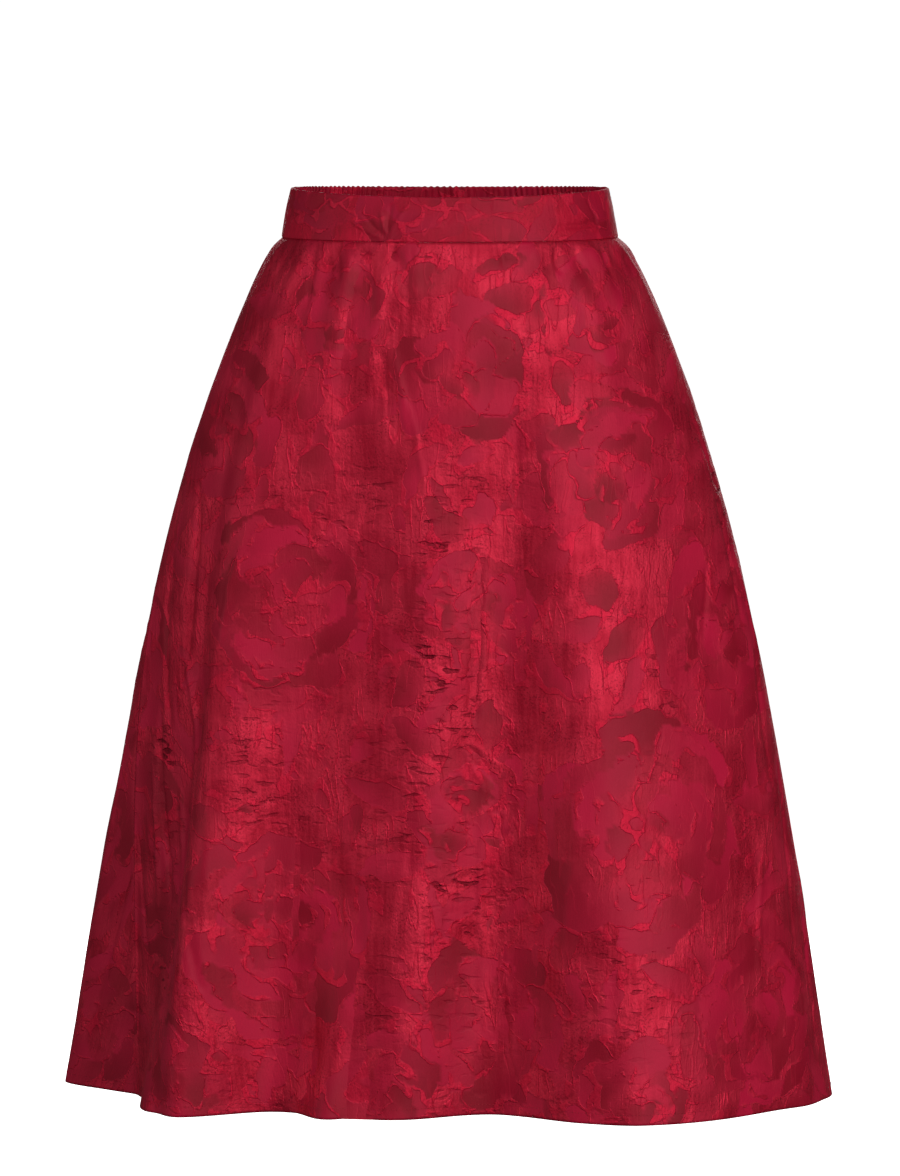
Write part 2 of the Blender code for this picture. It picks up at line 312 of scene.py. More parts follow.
def bloomPetals(bloom, number):
    # petals from the outer ring to the heart, each laid over those before it
    petals = []
    for ring, row in enumerate(bloomRings[bloom["kind"]]):
        shape = dict(zip(petalColumns, row))
        for index in range(shape["count"]):
            odd = math.sin(12.9898 * (number * 7.3 + ring * 3.1 + index * 1.7)) * 0.5
            turn = ring * 37 + (index + 0.6 * odd) * 360 / shape["count"]
            angle = math.radians(bloom["turn"] + turn)
            reach = bloom["radius"] * shape["tip"] * (1 + 0.26 * odd)
            start = bloom["radius"] * shape["root"]
            petals.append({
                "across": bloom["across"] + math.cos(angle) * (start + reach) / 2,
                "down": bloom["down"] + math.sin(angle) * (start + reach) / 2,
                "angle": angle,
                "length": reach - start,
                "width": bloom["radius"] * shape["width"] * (1 - 0.3 * odd),
                "tone": shape["tone"] * (1 - 0.45 * (odd > 0.33)),
                "dye": 0.5 + 0.9 * math.sin(5.1 * (number + 2 * ring + 3 * index)) * 0.5,
                "flare": 0.34,
                "ruffle": 0.05,
                "bend": shape["bend"] * (1 if odd > 0 else -1),
                "sign": 1 if (ring + index) % 2 else -1,
            })
    return petals


def bloomLeaves(bloom, number):
    leaves = []
    for index in range(leafShape["count"]):
        odd = math.sin(78.233 * (number * 3.7 + index * 2.9)) * 0.5
        angle = math.radians(bloom["turn"] + 40 + (index + 0.8 * odd) * 360 / leafShape["count"])
        reach = bloom["radius"] * 1.06 + leafShape["length"] * 0.45
        leaves.append({
            "across": bloom["across"] + math.cos(angle) * reach,
            "down": bloom["down"] + math.sin(angle) * reach,
            "angle": angle + 0.9 * odd,
            "length": leafShape["length"] * (1 + 0.6 * odd),
            "width": leafShape["width"] * (1 - 0.5 * odd),
            "tone": leafShape["tone"],
            "dye": 0.5 + odd,
            "flare": -0.30,
            "ruffle": 0.04,
            "bend": 12.0 * odd,
            "sign": 1 if index % 2 else -1,
        })
    return leaves


def loosePetals(seed):
    # small petals and crescents strewn between the blooms, on a grid that is pushed about
    petals = []
    spacing = looseShape["spacing"]
    columns = looseShape["columns"]
    for number in range(columns * looseShape["rows"] * looseShape["each"]):
        place = number // looseShape["each"]
        odd = math.sin(12.9898 * number + seed) * 437.585 % 1.0
        even = math.sin(78.233 * number + 2 * seed) * 246.346 % 1.0
        third = math.sin(37.719 * number + 3 * seed) * 317.114 % 1.0
        length = (looseShape["longest"] - looseShape["shortest"]) * odd * even
        length = looseShape["shortest"] + length
        petals.append({
            "across": (place % columns - (columns - 1) / 2 + third) * spacing,
            "down": (place // columns - 0.5 + odd) * spacing,
            "angle": 2 * math.pi * even,
            "length": length,
            "width": length * (0.28 + 0.40 * third),
            "tone": 0.55 + 0.45 * odd,
            "dye": third,
            "flare": 0.5 * (even - 0.5),
            "ruffle": 0.05,
            "bend": 36.0 * (third - 0.5),
            "sign": 1 if number % 2 else -1,
        })
    return petals


def weaveMotifs(across, down, blooms, seed):
    # Two distances in millimetres: edge is positive on petals and negative on the ground,
    # and rim crosses nought where one petal's outline passes over another. Tone is how
    # much the topmost petal differs from the ground, and dye how light it is.
    broad, fine = wobble["broadSpan"], wobble["fineSpan"]
    swayed = across + wobble["broad"] * softNoise(across / broad, down / broad, seed, 3)
    sunk = down + wobble["broad"] * softNoise(across / broad, down / broad, seed + 7, 3)
    swayed = swayed + wobble["fine"] * latticeNoise(across / fine, down / fine, seed + 3)
    sunk = sunk + wobble["fine"] * latticeNoise(across / fine, down / fine, seed + 4)
    edge = np.full(across.shape, -0.030)
    rim = np.full(across.shape, 0.030)
    tone = np.zeros(across.shape)
    dye = np.full(across.shape, 0.5)
    laid = loosePetals(seed)
    for lay in (bloomLeaves, bloomPetals):
        for number, row in enumerate(blooms):
            laid += lay(inMetres(bloomColumns, row), number)
    for petal in laid:
        reach = max(petal["length"], petal["width"]) * 0.75 + 0.014
        near = (np.abs(swayed - petal["across"]) < reach) & (np.abs(sunk - petal["down"]) < reach)
        if not near.any():
            continue
        offAcross = swayed[near] - petal["across"]
        offDown = sunk[near] - petal["down"]
        cosine, sine = math.cos(petal["angle"]), math.sin(petal["angle"])
        forward = offAcross * cosine + offDown * sine
        aside = offDown * cosine - offAcross * sine + petal["bend"] * forward ** 2
        along = forward / (petal["length"] / 2)
        widen = np.clip(1 + petal["flare"] * along, 0.35, 1.6)
        aside = aside / (petal["width"] / 2 * widen)
        ruffle = 1 + petal["ruffle"] * np.sin(5 * np.arctan2(aside, along) + petal["angle"] * 5)
        inside = 1 - np.sqrt(along ** 2 + aside ** 2) * ruffle
        inside = inside * min(petal["length"], petal["width"]) / 2
        covered = inside > 0
        side = np.where(rim[near] < 0, -1.0, 1.0)
        rim[near] = np.where(covered, petal["sign"] * inside,
                             side * np.minimum(np.abs(rim[near]), -inside))
        edge[near] = np.maximum(edge[near], inside)
        fading = petal["tone"] * (0.40 + 0.60 * smoothStep(along, -0.9, 0.5))
        tone[near] = np.where(inside > -0.0015, fading, tone[near])
        shade = petal["dye"] + 0.35 * np.clip(aside, -1, 1) * petal["sign"]
        dye[near] = np.where(inside > -0.0015, shade, dye[near])
    return {"edge": edge / millimetre, "rim": rim / millimetre, "tone": tone, "dye": dye}


# Creases pressed in the cloth: soft troughs and ridges listed one by one, in millimetres,
# their lean in degrees, and their bend in how far they bow for a length squared, per metre
creaseColumns = ("across", "down", "length", "lean", "width", "depth", "bend")
frontCreases = (
    (-118, 4, 50, 96, 3.0, -1.6, 2),
    (-96, 2, 30, 84, 2.6, -1.4, 0),
    (-84, 6, 16, 60, 2.2, -1.0, -8),
    (-64, 2, 18, 96, 2.4, -1.2, 6),
    (-46, 3, 60, 76, 5.0, -2.6, -3),
    (-66, 4, 140, 101, 9.0, -3.6, 0.6),
    (-50, 20, 130, 99, 8.0, 2.8, 0.6),
    (-115, 16, 110, 104, 9.0, -2.2, 0),
    (78, 30, 130, 84, 10.0, -2.2, 0),
    (112, 20, 120, 78, 9.0, 2.0, 0),
    (-30, 2, 16, 88, 2.2, -1.0, 10),
    (-12, 2, 22, 90, 2.4, -0.8, 0),
    (40, 2, 20, 84, 2.4, -1.2, -6),
    (66, 2, 26, 92, 2.6, -1.0, 0),
    (88, 3, 24, 80, 3.0, -2.6, 4),
    (108, 2, 18, 90, 2.2, -1.0, 0),
    (134, 2, 40, 72, 2.8, -1.4, 0),
    (-56, 86, 80, 79, 3.6, -2.2, 1),
    (-46, 82, 80, 79, 3.2, 1.8, 1),
    (-40, 115, 120, 80, 2.4, 1.4, -1.5),
    (-64, 200, 90, 100, 2.4, -1.4, 2),
    (56, 140, 160, 88, 3.0, -1.6, 0.5),
    (-165, 230, 120, 105, 3.4, 1.6, 1),
    (-225, 200, 170, 98, 4.0, -2.2, -0.8),
    (-262, 260, 150, 92, 3.6, -2.6, 1.2),
    (-245, 330, 160, 86, 3.2, 2.2, -1),
    (-280, 380, 180, 92, 3.4, -2.6, 0.8),
    (-262, 450, 150, 84, 3.0, 2.2, 1.5),
    (-300, 430, 130, 96, 3.0, 2.0, -1),
    (-340, 480, 120, 88, 3.4, -2.0, 0),
    (-235, 520, 120, 80, 3.0, -1.8, 0),
    (225, 140, 90, 60, 3.4, -1.6, 2),
    (250, 210, 120, 76, 3.6, -2.2, -1),
    (276, 250, 110, 68, 3.0, 1.8, 1),
    (235, 260, 80, 98, 3.0, -1.6, 0),
    (300, 330, 140, 82, 3.4, -1.8, 0.8),
    (330, 430, 170, 86, 3.4, -1.8, -0.6),
    (300, 480, 150, 92, 3.0, 1.4, 0.5),
    (365, 560, 130, 84, 3.0, -1.4, 0),
    (85, 300, 200, 94, 3.6, -1.2, 0.3),
    (-100, 420, 180, 86, 3.4, 1.2, -0.4),
    (-130, 470, 150, 92, 3.0, -1.2, 0.4),
    (-70, 520, 170, 90, 3.2, 1.2, 0),
    (30, 400, 240, 90, 3.0, 1.4, 0.2),
    (45, 560, 130, 84, 2.6, 1.6, 0.5),
    (24, 250, 150, 91, 3.2, -2.4, 0.2),
    (31, 246, 160, 91, 2.8, 1.8, 0.2),
    (14, 405, 40, 38, 2.6, 1.3, 0),
    (13, 408, 44, 52, 2.6, -1.3, 0),
    (12, 410, 46, 64, 2.6, 1.3, 0),
    (10, 411, 44, 78, 2.6, -1.3, 0),
    (-30, 470, 120, 100, 4.0, -1.8, -0.6),
    (-85, 345, 110, 112, 3.4, -1.8, 0.8),
    (-72, 350, 100, 108, 3.0, 1.6, 0.8),
    (-200, 400, 260, 95, 4.0, 1.2, 0),
    (115, 430, 220, 96, 3.2, 1.2, -0.3),
    (145, 560, 130, 88, 3.0, -1.0, 0),
)
backCreases = (
    (-230, 120, 170, 96, 4.0, -2.0, 0.8),
    (-170, 200, 150, 86, 3.4, 1.6, -1),
    (-90, 150, 160, 92, 3.2, -1.8, 0.6),
    (-30, 250, 200, 88, 3.4, 1.4, 0.3),
    (50, 180, 140, 95, 3.2, -1.6, -0.8),
    (120, 240, 170, 84, 3.6, 1.6, 0.5),
    (190, 130, 190, 90, 4.0, -2.0, -0.4),
    (260, 220, 160, 82, 3.4, -1.8, 1),
    (-320, 330, 200, 94, 3.6, -2.2, 0.5),
    (-280, 450, 170, 88, 3.2, 1.8, -0.8),
    (-200, 400, 230, 92, 3.6, -1.4, 0.2),
    (-120, 460, 190, 86, 3.4, 1.4, -0.5),
    (-50, 420, 150, 96, 3.0, -1.6, 0.9),
    (40, 500, 180, 90, 3.2, 1.4, 0),
    (110, 430, 210, 85, 3.6, -1.4, 0.4),
    (200, 380, 240, 93, 3.6, 1.6, -0.3),
    (280, 440, 190, 88, 3.4, -2.0, 0.6),
    (340, 400, 160, 84, 3.2, 1.8, -0.6),
    (400, 520, 150, 90, 3.2, -1.8, 0),
    (-400, 500, 170, 92, 3.4, -1.8, 0.3),
    (-360, 580, 110, 80, 3.0, 1.4, 0),
    (320, 580, 110, 97, 3.0, 1.4, 0),
)
# Patches, in millimetres, where the shrinking threads of the ground pull it into short
# puckers across
patchColumns = ("across", "down", "length", "width", "strength")
frontPatches = (
    (6, 190, 500, 26, 1.00),
    (-30, 330, 180, 18, 0.70),
    (182, 330, 110, 24, 0.60),
    (150, 560, 120, 30, 0.60),
    (-285, 400, 240, 22, 0.90),
    (262, 180, 170, 22, 0.70),
    (-165, 300, 200, 30, 0.50),
    (-80, 180, 100, 30, 0.50),
)
backPatches = (
    (-10, 220, 440, 28, 0.90),
    (210, 260, 320, 24, 0.70),
    (-230, 300, 300, 24, 0.80),
    (90, 520, 120, 28, 0.60),
)
crossPuckers = {"across": 0.0170, "down": 0.0075, "depth": 0.0012, "elsewhere": 0.30,
                "onPetals": 0.15}


def crossStrength(across, down, patches, seed):
    # how strongly the ground puckers across its warp, from 0 to 1
    loose = smoothStep(softNoise(across / 0.060, down / 0.050, seed + 17), 0.0, 0.9)
    strength = crossPuckers["elsewhere"] * loose
    for row in patches:
        patch = inMetres(patchColumns, row)
        along = (down - patch["down"]) / patch["length"]
        sway = 0.012 * softNoise(down / 0.060, across * 0 + patch["across"] * 40, seed + 21)
        aside = (across - patch["across"] - sway) / patch["width"]
        inside = smoothStep(along, -0.08, 0.10) * (1 - smoothStep(along, 0.85, 1.08))
        strength = np.maximum(strength, patch["strength"] * inside * np.exp(-aside ** 4))
    broken = smoothStep(softNoise(across / 0.020, down / 0.030, seed + 25), -0.6, 0.4)
    return strength * (0.6 + 0.4 * broken)


def creaseHeight(across, down, creases, seed):
    height = np.zeros_like(across)
    for row in creases:
        crease = inMetres(creaseColumns, row)
        lean = math.radians(crease["lean"])
        offAcross = across - crease["across"]
        offDown = down - crease["down"]
        along = offAcross * math.cos(lean) + offDown * math.sin(lean)
        aside = offDown * math.cos(lean) - offAcross * math.sin(lean)
        aside += crease["bend"] * along * (along - crease["length"])
        aside += 0.0016 * latticeNoise(along / 0.014, along * 0 + crease["across"] * 90, seed)
        share = along / crease["length"]
        taper = np.where((share > 0) & (share < 1), np.sin(np.pi * np.clip(share, 0, 1)) ** 0.6, 0)
        fromEdge = min(1.0, crease["down"] / 0.012)
        taper = np.where(share < 0.5, taper + (1 - fromEdge) * (1 - taper) * (share > 0), taper)
        height += crease["depth"] * taper * np.exp(-(aside / crease["width"]) ** 2)
    return height


puckers = {
    # ridges that the tighter ground weave throws up: spacing across and along the warp
    "across": 0.0095,
    "along": 0.0240,
    "depth": 0.0006,
    "onPetals": 0.22,
    "broadAcross": 0.040,
    "broadAlong": 0.090,
    "broadDepth": 0.0016,
}


def puckerHeight(across, down, edge, cross, seed):
    sway = 0.6 * softNoise(across / 0.045, down / 0.060, seed + 5)
    ridges = 1 - np.abs(softNoise(across / puckers["across"] + sway, down / puckers["along"], seed))
    ridges = np.clip(ridges, 0, 1) ** 2 - 0.4
    calm = smoothStep(edge, -1.5, 3.5)
    strength = 0.55 + 0.45 * softNoise(across / 0.11, down / 0.14, seed + 9)
    fine = puckers["depth"] * ridges * strength * (1 - calm * (1 - puckers["onPetals"]))
    broad = softNoise(across / puckers["broadAcross"], down / puckers["broadAlong"], seed + 2)
    troughs = softNoise(across / crossPuckers["across"], down / crossPuckers["down"], seed + 13)
    fine = fine - crossPuckers["depth"] * cross * smoothStep(-troughs, 0.2, 0.8)
    return fine + puckers["broadDepth"] * 0.5 * broad


def arcFromCentre(points):
    steps = np.linalg.norm(np.diff(points, axis=1), axis=-1)
    arc = np.concatenate([np.zeros((len(points), 1)), np.cumsum(steps, axis=1)], axis=1)
    return arc - arc[:, [points.shape[1] // 2]]


def newObject(name, data):
    item = bpy.data.objects.new(name, data)
    bpy.context.scene.collection.objects.link(item)
    return item


def makeMesh(name, points, faces, material, layers, clothPlace):
    mesh = bpy.data.meshes.new(name)
    mesh.from_pydata(points.tolist(), [], faces)
    mesh.shade_smooth()
    mesh.materials.append(material)
    for layer, values in layers.items():
        attribute = mesh.attributes.new(layer, "FLOAT", "POINT")
        attribute.data.foreach_set("value", np.asarray(values, np.float32))
    flat = mesh.uv_layers.new(name="cloth")
    corners = np.zeros(len(mesh.loops), np.int32)
    mesh.loops.foreach_get("vertex_index", corners)
    flat.data.foreach_set("uv", clothPlace[corners].astype(np.float32).ravel())
    mesh.validate()
    return newObject(name, mesh)


def gridFaces(start, rows, columns, flipped=False):
    index = start + np.arange(rows * columns).reshape(rows, columns)
    corners = [index[:-1, :-1], index[1:, :-1], index[1:, 1:], index[:-1, 1:]]
    if flipped:
        corners = corners[::-1]
    return np.stack(corners, -1).reshape(-1, 4).tolist()


def fanFaces(fine, coarse, flipped=False):
    # faces between a fine edge and a coarse one that has one point for several of its own
    step = (len(fine) - 1) // (len(coarse) - 1)
    faces = []
    for index in range(len(coarse) - 1):
        run = list(fine[index * step:index * step + step + 1])
        face = run + [coarse[index + 1], coarse[index]]
        faces.append(face if flipped else face[::-1])
    return faces


panelGrid = {"columns": 312, "rows": 288, "insideStep": 8, "crowding": 0.035}
panelEdge = {
    "slant": 1.02,           # the cloth's length over its drop
    "waistFade": 0.014,      # the relief dies away over these lengths and degrees
    "hemFade": 0.020,
    "hemShare": 0.35,
    "sideFade": 2.2,
    "sideRoll": 0.0009,      # how far the seams draw the cloth in, and over how much of it
    "sideRollWidth": 1.8,    # millimetres
    "waistRoll": 0.0003,
    "waistRollWidth": 0.0016,
}
hemStitch = {
    "fromEdge": 0.0085,
    "pitch": 0.0030,
    "length": 0.0021,
    "width": 0.00042,
    "uneven": 0.00018,
    "colour": "#B01030",
    "deepColour": "#8C0820",
    "mottlesPerMetre": 700.0,
    "sections": 5,
    "sides": 5,
}


def panelDrops(rows):
    # rows closer together at the waist, where the gathers are, and at the hem
    share = np.linspace(0, 1, rows)
    crowded = panelGrid["crowding"] * np.sin(2 * np.pi * share) / (2 * np.pi)
    return skirtForm["hemDrop"] * (share - crowded)


def makePanel(name, front, blooms, creases, patches, seed, material):
    rows = panelGrid["rows"] + 1
    columns = panelGrid["columns"] + 1
    centre = 0.0 if front else 180.0
    reach = 90.0 - math.degrees(skirtForm["sideGap"] / skirtForm["panelDepth"])
    around = np.linspace(centre - reach, centre + reach, columns)
    drops, angles = np.meshgrid(panelDrops(rows), around, indexing="ij")
    base = panelSurface(angles, drops, front)
    normals = gridNormals(base)
    across = arcFromCentre(base)
    down = drops * panelEdge["slant"]
    layers = weaveMotifs(across, down, blooms, seed)
    onGround = 1 - smoothStep(layers["edge"], -1.0, 2.5) * layers["tone"]
    kept = crossPuckers["onPetals"] + (1 - crossPuckers["onPetals"]) * onGround
    layers["cross"] = crossStrength(across, down, patches, seed) * kept
    height = creaseHeight(across, down, creases, seed)
    height += puckerHeight(across, down, layers["edge"], layers["cross"], seed)
    fromWaist = smoothStep(drops, 0.0, panelEdge["waistFade"])
    fromHem = smoothStep(skirtForm["hemDrop"] - drops, 0.0, panelEdge["hemFade"])
    fromHem = panelEdge["hemShare"] + (1 - panelEdge["hemShare"]) * fromHem
    fromSide = smoothStep(90.0 - np.abs(angles - centre), 0.0, panelEdge["sideFade"])
    height = height * fromWaist * fromHem * fromSide
    sideMillimetres = (np.abs(across[:, [-1]]) - np.abs(across)) / millimetre
    sideRoll = np.exp(-(sideMillimetres / panelEdge["sideRollWidth"]) ** 2)
    waistRoll = np.exp(-(drops / panelEdge["waistRollWidth"]) ** 2)
    height -= panelEdge["sideRoll"] * sideRoll + panelEdge["waistRoll"] * waistRoll
    outer = base + normals * height[..., None]

    step = panelGrid["insideStep"]
    insideRows = list(range(0, rows - 1, step)) + [rows - 1]
    inner = (outer - normals * skirtForm["clothWall"])[insideRows][:, ::step]
    turned = drops[insideRows][:, ::step] > skirtForm["hemDrop"] - skirtForm["hemTurn"]
    inner = inner - normals[insideRows][:, ::step] * (turned * skirtForm["clothWall"])[..., None]
    outer[0, :, 2] = base[0, :, 2]   # a level top edge, close under the band
    inner[0, :, 2] = base[0, 0, 2]
    innerRows, innerColumns = inner.shape[:2]

    outerCount = rows * columns
    points = np.concatenate([outer.reshape(-1, 3), inner.reshape(-1, 3)])
    faces = gridFaces(0, rows, columns)
    faces += gridFaces(outerCount, innerRows, innerColumns, flipped=True)
    outerIndex = np.arange(outerCount).reshape(rows, columns)
    innerIndex = outerCount + np.arange(innerRows * innerColumns).reshape(innerRows, innerColumns)
    faces += fanFaces(outerIndex[-1].tolist(), innerIndex[-1].tolist())
    faces += fanFaces(outerIndex[0].tolist(), innerIndex[0].tolist(), flipped=True)
    faces += fanFaces(outerIndex[:, 0].tolist(), innerIndex[:, 0].tolist())
    faces += fanFaces(outerIndex[:, -1].tolist(), innerIndex[:, -1].tolist(), flipped=True)

    def both(values):
        return np.concatenate([values.ravel(), values[insideRows][:, ::step].ravel()])

    clothPlace = np.stack([both(across), both(down)], -1)
    layers = {layer: both(values) for layer, values in layers.items()}
    panel = makeMesh(name, points, faces, material, layers, clothPlace)
    row = np.interp(skirtForm["hemDrop"] - hemStitch["fromEdge"], drops[:, 0], np.arange(rows))
    above = int(row)
    hemLine = outer[above] + (row - above) * (outer[above + 1] - outer[above])
    return panel, hemLine, normals[above]


def linearColour(hexColour):
    parts = [int(hexColour[i:i + 2], 16) / 255 for i in (1, 3, 5)]
    return tuple(p / 12.92 if p <= 0.04045 else ((p + 0.055) / 1.055) ** 2.4 for p in parts) + (1.0,)


def addNode(tree, kind, inputs=(), out=0, **settings):
    # one node with its settings, and its inputs, by place or name, set to values or linked
    # to other nodes; gives back the output asked for
    node = tree.nodes.new("ShaderNode" + kind)
    for name, value in settings.items():
        setattr(node, name, value)
    inputs = inputs if isinstance(inputs, dict) else dict(enumerate(inputs))
    for socket, value in inputs.items():
        if isinstance(value, bpy.types.NodeSocket):
            tree.links.new(value, node.inputs[socket])
        else:
            node.inputs[socket].default_value = value
    return node.outputs[out] if node.outputs else None


times = {"operation": "MULTIPLY"}
timesPlus = {"operation": "MULTIPLY_ADD"}
minus = {"operation": "SUBTRACT"}
smooth = {"interpolation_type": "SMOOTHSTEP"}
mixed = {"out": 2, "data_type": "RGBA"}


def patchesOn(add, place, perMetre, span=(), ends=(), detail=2.0, stretch=(1.0, 1.0, 1.0)):
    # noise in the plane of the cloth, cut off smoothly between two levels where span gives them
    spread = add("Mapping", {"Vector": place, "Scale": stretch})
    scales = {"Vector": spread, "Scale": perMetre, "Detail": detail}
    noise = add("TexNoise", scales, noise_dimensions="2D")
    return add("MapRange", (noise, *span, *ends), **smooth) if span else noise


def newMaterial(name):
    # an empty material, and what adds nodes and patches of noise to it
    material = bpy.data.materials.new(name)
    material.use_nodes = True
    material.node_tree.nodes.clear()
    add = partial(addNode, material.node_tree)
    return material, add, partial(patchesOn, add, add("UVMap", uv_map="cloth"))


jacquard = {
    "groundLit": "#D42C46",     # satin floats of the ground
    "groundDeep": "#AA142E",
    "petal": "#BA1038",         # plain weave of the petals, duller and a little bluer
    "petalDeep": "#8C0420",
    "shadow": "#5A0010",        # painted shade at the bottom of a pucker or pit too fine for the mesh
    "outline": "#D21A3C",       # the raised cord where two weaves meet
    "groundMetallic": 0.62,
    "groundRoughness": 0.60,
    "petalMetallic": 0.06,
    "petalRoughness": 0.60,
    "specular": 0.20,
    "threadsPerMetre": 900.0,   # the real warp has 5000; drawn coarser so that it shows
    "threadBump": 0.00010,      # bumps in metres
    "raggedPerMetre": 520.0,    # steps in a petal's edge, 2 mm apart
    "outlinesPerMetre": 55.0,   # stretches of outline with a cord, and where it widens
    "gapsPerMetre": 34.0,
    "cloudsPerMetre": 24.0,     # lighter and darker ground, 4 cm apart
    "crinklesPerMetre": 420.0,
    "crinkleBump": 0.00042,
    "paintedPitShadesPerMetre": 560.0,    # pits in the ground, darkened with painted shade, and the patches they lie in
    "fleckPatchesPerMetre": 38.0,
    "streaksPerMetre": 260.0,   # painted sheen of slack warp threads that catch the light
    "strokesPerMetre": 165.0,   # short puckers, wider than they are tall, bumped and darkened with painted shade
    "strokeBump": 0.00110,
    "veinsPerMetre": 62.0,      # thin ridges that wander along the warp
    "veinBump": 0.00040,
    "outlineWidth": (0.15, 0.85),   # millimetres either side of a petal's outline
    "widestOutline": 1.9,           # and how much wider it is where ground shows between petals
    "outlineBump": 0.00034,
}
bandJacquard = dict(jacquard, groundLit="#C00A30", groundDeep="#9C0624", petal="#A40A30",
                    groundMetallic=0.20, veinBump=0.00025, strokeBump=0.0005)


def makeJacquard(name, look):
    # Woven polyester jacquard: shiny warp satin behind dull plain-weave petals, so that the
    # ground flares where light strikes it and falls darker than the petals where it doesn't
    material, add, patches = newMaterial(name)
    edge, rim, tone, cross, dye = (add("Attribute", out="Fac", attribute_name=layer)
                                   for layer in ("edge", "rim", "tone", "cross", "dye"))

    # petals with a ragged edge, and the cord round them
    ragged = patches(look["raggedPerMetre"])
    ragged = add("Math", (ragged, 2.4, -1.2), **timesPlus)
    inPetal = add("Math", (edge, ragged), operation="ADD")
    inPetal = add("MapRange", (inPetal, 0.2, 0.9), **smooth)
    fromRim = add("Math", (rim,), operation="ABSOLUTE")
    fromRim = add("Math", (ragged, 0.3, fromRim), **timesPlus)
    gap = patches(look["gapsPerMetre"], (0.46, 0.70), (0.0, look["widestOutline"]), 1.0)
    fromRim = add("Math", (fromRim, gap), **minus)
    outline = add("MapRange", (fromRim, *look["outlineWidth"], 1.0, 0.0), **smooth)
    patchy = patches(look["outlinesPerMetre"], (0.34, 0.56), detail=1.0)
    outline = add("Math", (outline, patchy), **times)
    petal = add("Math", (inPetal, tone), **times)
    bare = add("Math", (outline, -0.8, 1.0), **timesPlus)
    petal = add("Math", (petal, bare), **times)
    onGround = add("Math", (1.0, petal), **minus)

    # the ground's clouds, streaks with painted sheen, pits and short puckers with painted shade, and
    # veins
    cloudAndSheen = patches(look["cloudsPerMetre"], (0.32, 0.68), detail=4.0)
    cloudAndSheen = add("Math", (cloudAndSheen, 0.72), **times)
    # painted sheen: streaks along the warp lighten the ground's colour
    sheenStreak = patches(look["streaksPerMetre"], (0.36, 0.64), (), 3.0, (1.0, 0.10, 1.0))
    cloudAndSheen = add("Math", (sheenStreak, 0.28, cloudAndSheen), **timesPlus)
    # painted shade in small pits of the ground, strewn in patches
    fleck = patches(look["paintedPitShadesPerMetre"], (0.57, 0.68), detail=1.0)
    strewn = patches(look["fleckPatchesPerMetre"], (0.40, 0.62), (0.10, 0.80))
    fleck = add("Math", (fleck, strewn), **times)
    fleck = add("Math", (fleck, onGround), **times)
    # short puckers across the warp: a real bump, and painted shade in their colour
    stroke = patches(look["strokesPerMetre"], (0.43, 0.30), (), 1.0, (0.36, 1.0, 1.0))
    stroke = add("Math", (stroke, cross), **times)
    wander = patches(look["veinsPerMetre"], stretch=(1.0, 0.24, 1.0))
    wander = add("Math", (wander, 0.5), **minus)
    wander = add("Math", (wander,), operation="ABSOLUTE")
    vein = add("MapRange", (wander, 0.004, 0.028, 1.0, 0.0), **smooth)
    for share in (patches(look["cloudsPerMetre"], (0.44, 0.62), detail=1.0),
                  add("MapRange", (petal, 0.0, 1.0, 1.0, 0.25), **smooth)):
        vein = add("Math", (vein, share), **times)

    colours = {part: linearColour(value) for part, value in look.items() if isinstance(value, str)}
    ground = add("Mix", {0: cloudAndSheen, 6: colours["groundDeep"], 7: colours["groundLit"]}, **mixed)
    bloom = add("Mix", {0: dye, 6: colours["petalDeep"], 7: colours["petal"]}, **mixed)
    colour = add("Mix", {0: petal, 6: ground, 7: bloom}, **mixed)
    raised = add("Math", (outline, vein), operation="MAXIMUM")
    raised = add("Math", (raised, 0.55), **times)
    colour = add("Mix", {0: raised, 6: colour, 7: colours["outline"]}, **mixed)
    # painted shade: pits and short puckers darken the colour towards the shadow colour
    sunk = add("Math", (stroke, 0.75), **times)
    sunk = add("Math", (fleck, 0.55, sunk), **timesPlus)
    colour = add("Mix", {0: sunk, 6: colour, 7: colours["shadow"]}, **mixed)
    metallic, roughness = (
        add("MapRange", (petal, 0.0, 1.0, look["ground" + part], look["petal" + part]), **smooth)
        for part in ("Metallic", "Roughness"))

    # the relief finer than the mesh, its heights added up in metres
    height = patches(look["threadsPerMetre"], stretch=(1.0, 0.12, 1.0))
    height = add("Math", (height, look["threadBump"]), **times)
    crinkle = patches(look["crinklesPerMetre"], stretch=(1.0, 0.70, 1.0))
    calm = add("MapRange", (petal, 0.0, 1.0, 1.0, 0.15), **smooth)
    calm = add("Math", (calm, look["crinkleBump"]), **times)
    for layer, rise in ((crinkle, calm), (outline, look["outlineBump"]), (vein, look["veinBump"]),
                        (stroke, -look["strokeBump"])):
        height = add("Math", (layer, rise, height), **timesPlus)
    relief = add("Bump", {"Height": height, "Distance": 1.0})
    shader = add("BsdfPrincipled", {
        "Base Color": colour, "Metallic": metallic, "Roughness": roughness, "Normal": relief,
        "IOR": 1.50, "Specular IOR Level": look["specular"]})
    add("OutputMaterial", {"Surface": shader})
    return material


def makeThread(name, look):
    # Spun polyester sewing thread: a dull sheen with a slight mottle
    material, add, patches = newMaterial(name)
    mottle = patches(look["mottlesPerMetre"], (0.35, 0.65))
    deep, pale = linearColour(look["deepColour"]), linearColour(look["colour"])
    colour = add("Mix", {0: mottle, 6: deep, 7: pale}, **mixed)
    shader = add("BsdfPrincipled", {
        "Base Color": colour, "Roughness": 0.55, "IOR": 1.50, "Specular IOR Level": 0.3})
    add("OutputMaterial", {"Surface": shader})
    return material


